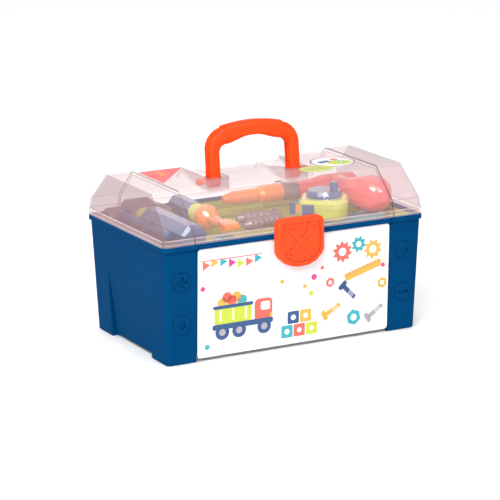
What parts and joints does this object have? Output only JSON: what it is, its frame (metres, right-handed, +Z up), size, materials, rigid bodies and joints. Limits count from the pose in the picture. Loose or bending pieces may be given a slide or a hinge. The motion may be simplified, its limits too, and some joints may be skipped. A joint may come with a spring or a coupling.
{
  "type": "toy tool box",
  "caption": "Toy tool box with a clear hinged lid, folding carry handle, fold-down front with a swing latch, lift-out tray and loose play tools.",
  "frame": {"origin": "on the ground under the middle of the box", "axes": "+X along the box to the right seen from the front, -Y out of the front, +Z up"},
  "size_m": [0.284, 0.1888, 0.2092],
  "materials": {
    "blue_plastic": "satin moulded plastic",
    "orange_plastic": "satin moulded plastic",
    "lime_plastic": "satin moulded plastic",
    "coral_plastic": "satin moulded plastic",
    "teal_plastic": "satin moulded plastic",
    "amber_plastic": "satin moulded plastic",
    "grey_plastic": "satin moulded plastic",
    "clear_plastic": "clear polished plastic",
    "printed_card": "printed card",
    "coral_label": "printed label",
    "white_label": "printed label",
    "lime_label": "printed label"
  },
  "bodies": {
    "box": {"base_tub": "blue_plastic", "tool_tray": "lime_plastic", "lid_hinge_pin_left": "blue_plastic", "lid_hinge_pin_right": "blue_plastic", "hammer_head": "grey_plastic", "hammer_collar": "lime_plastic", "hammer_grip": "blue_plastic", "screwdriver_grip": "blue_plastic", "screwdriver_collar": "lime_plastic", "screwdriver_bit": "amber_plastic", "drill_shell_lower": "coral_plastic", "drill_shell_upper": "coral_plastic", "trigger_spring": "grey_plastic", "tape_case_lower": "lime_plastic", "tape_case_upper": "lime_plastic", "tape_end_strip": "amber_plastic", "tape_end_tab": "blue_plastic", "tape_lock": "blue_plastic", "play_wrench": "teal_plastic", "pliers_lever_lower": "coral_plastic", "pliers_rivet": "grey_plastic", "blue_bolt_low_back": "blue_plastic", "blue_bolt_low_front": "blue_plastic", "blue_bolt_top_back": "blue_plastic", "blue_bolt_top_front": "blue_plastic", "grey_bolt_tray_1": "grey_plastic", "grey_bolt_tray_2": "grey_plastic", "grey_bolt_tray_3": "grey_plastic", "grey_bolt_floor_1": "grey_plastic", "play_nut_tray_1": "teal_plastic", "play_nut_tray_2": "teal_plastic", "play_nut_tray_3": "teal_plastic", "play_nut_tray_4": "teal_plastic", "play_nut_floor_1": "teal_plastic", "play_nut_floor_2": "teal_plastic"},
    "lid": {"lid_shell": "clear_plastic", "corner_label": "coral_label", "oval_label": "white_label", "small_label": "lime_label"},
    "handle": {"carry_handle": "orange_plastic"},
    "door": {"front_door": "blue_plastic", "front_card": "printed_card", "latch_pin": "blue_plastic"},
    "latch": {"latch": "orange_plastic"},
    "tape_crank": {"tape_crank": "blue_plastic", "tape_coil": "amber_plastic"},
    "drill_chuck": {"drill_chuck": "grey_plastic", "drill_bit": "amber_plastic"},
    "drill_trigger": {"drill_trigger": "teal_plastic"},
    "pliers_upper": {"pliers_lever_upper": "coral_plastic"}
  },
  "joints": [
    {"name": "lid_hinge", "type": "hinge", "parent": "box", "child": "lid", "pos_m": [0, 0.09, 0.1186], "axis": [-1, 0, 0], "range_deg": [0, 105]},
    {"name": "handle_pivot", "type": "hinge", "parent": "lid", "child": "handle", "pos_m": [0, 0.002, 0.154], "axis": [-1, 0, 0], "range_deg": [-5, 70]},
    {"name": "door_hinge", "type": "hinge", "parent": "box", "child": "door", "pos_m": [0, -0.0715, 0.0165], "axis": [1, 0, 0], "range_deg": [0, 85]},
    {"name": "latch_hinge", "type": "hinge", "parent": "door", "child": "latch", "pos_m": [0, -0.0885, 0.09], "axis": [1, 0, 0], "range_deg": [0, 75]},
    {"name": "tape_crank_spin", "type": "hinge", "parent": "box", "child": "tape_crank", "pos_m": [0.0638, -0.025, 0.1314], "axis": [0, 0, 1], "continuous": true},
    {"name": "drill_chuck_spin", "type": "hinge", "parent": "box", "child": "drill_chuck", "pos_m": [0.0592, 0.023, 0.1286], "axis": [1, 0, 0], "continuous": true},
    {"name": "drill_trigger_slide", "type": "slide", "parent": "box", "child": "drill_trigger", "axis": [1, 0, 0], "range_m": [0, 0.0035], "stiffness_N_per_m": 60, "springref_m": -0.001},
    {"name": "pliers_pivot", "type": "hinge", "parent": "box", "child": "pliers_upper", "pos_m": [-0.03, 0.015, 0.0122], "axis": [0, 0, 1], "range_deg": [0, 35]}
  ]
}
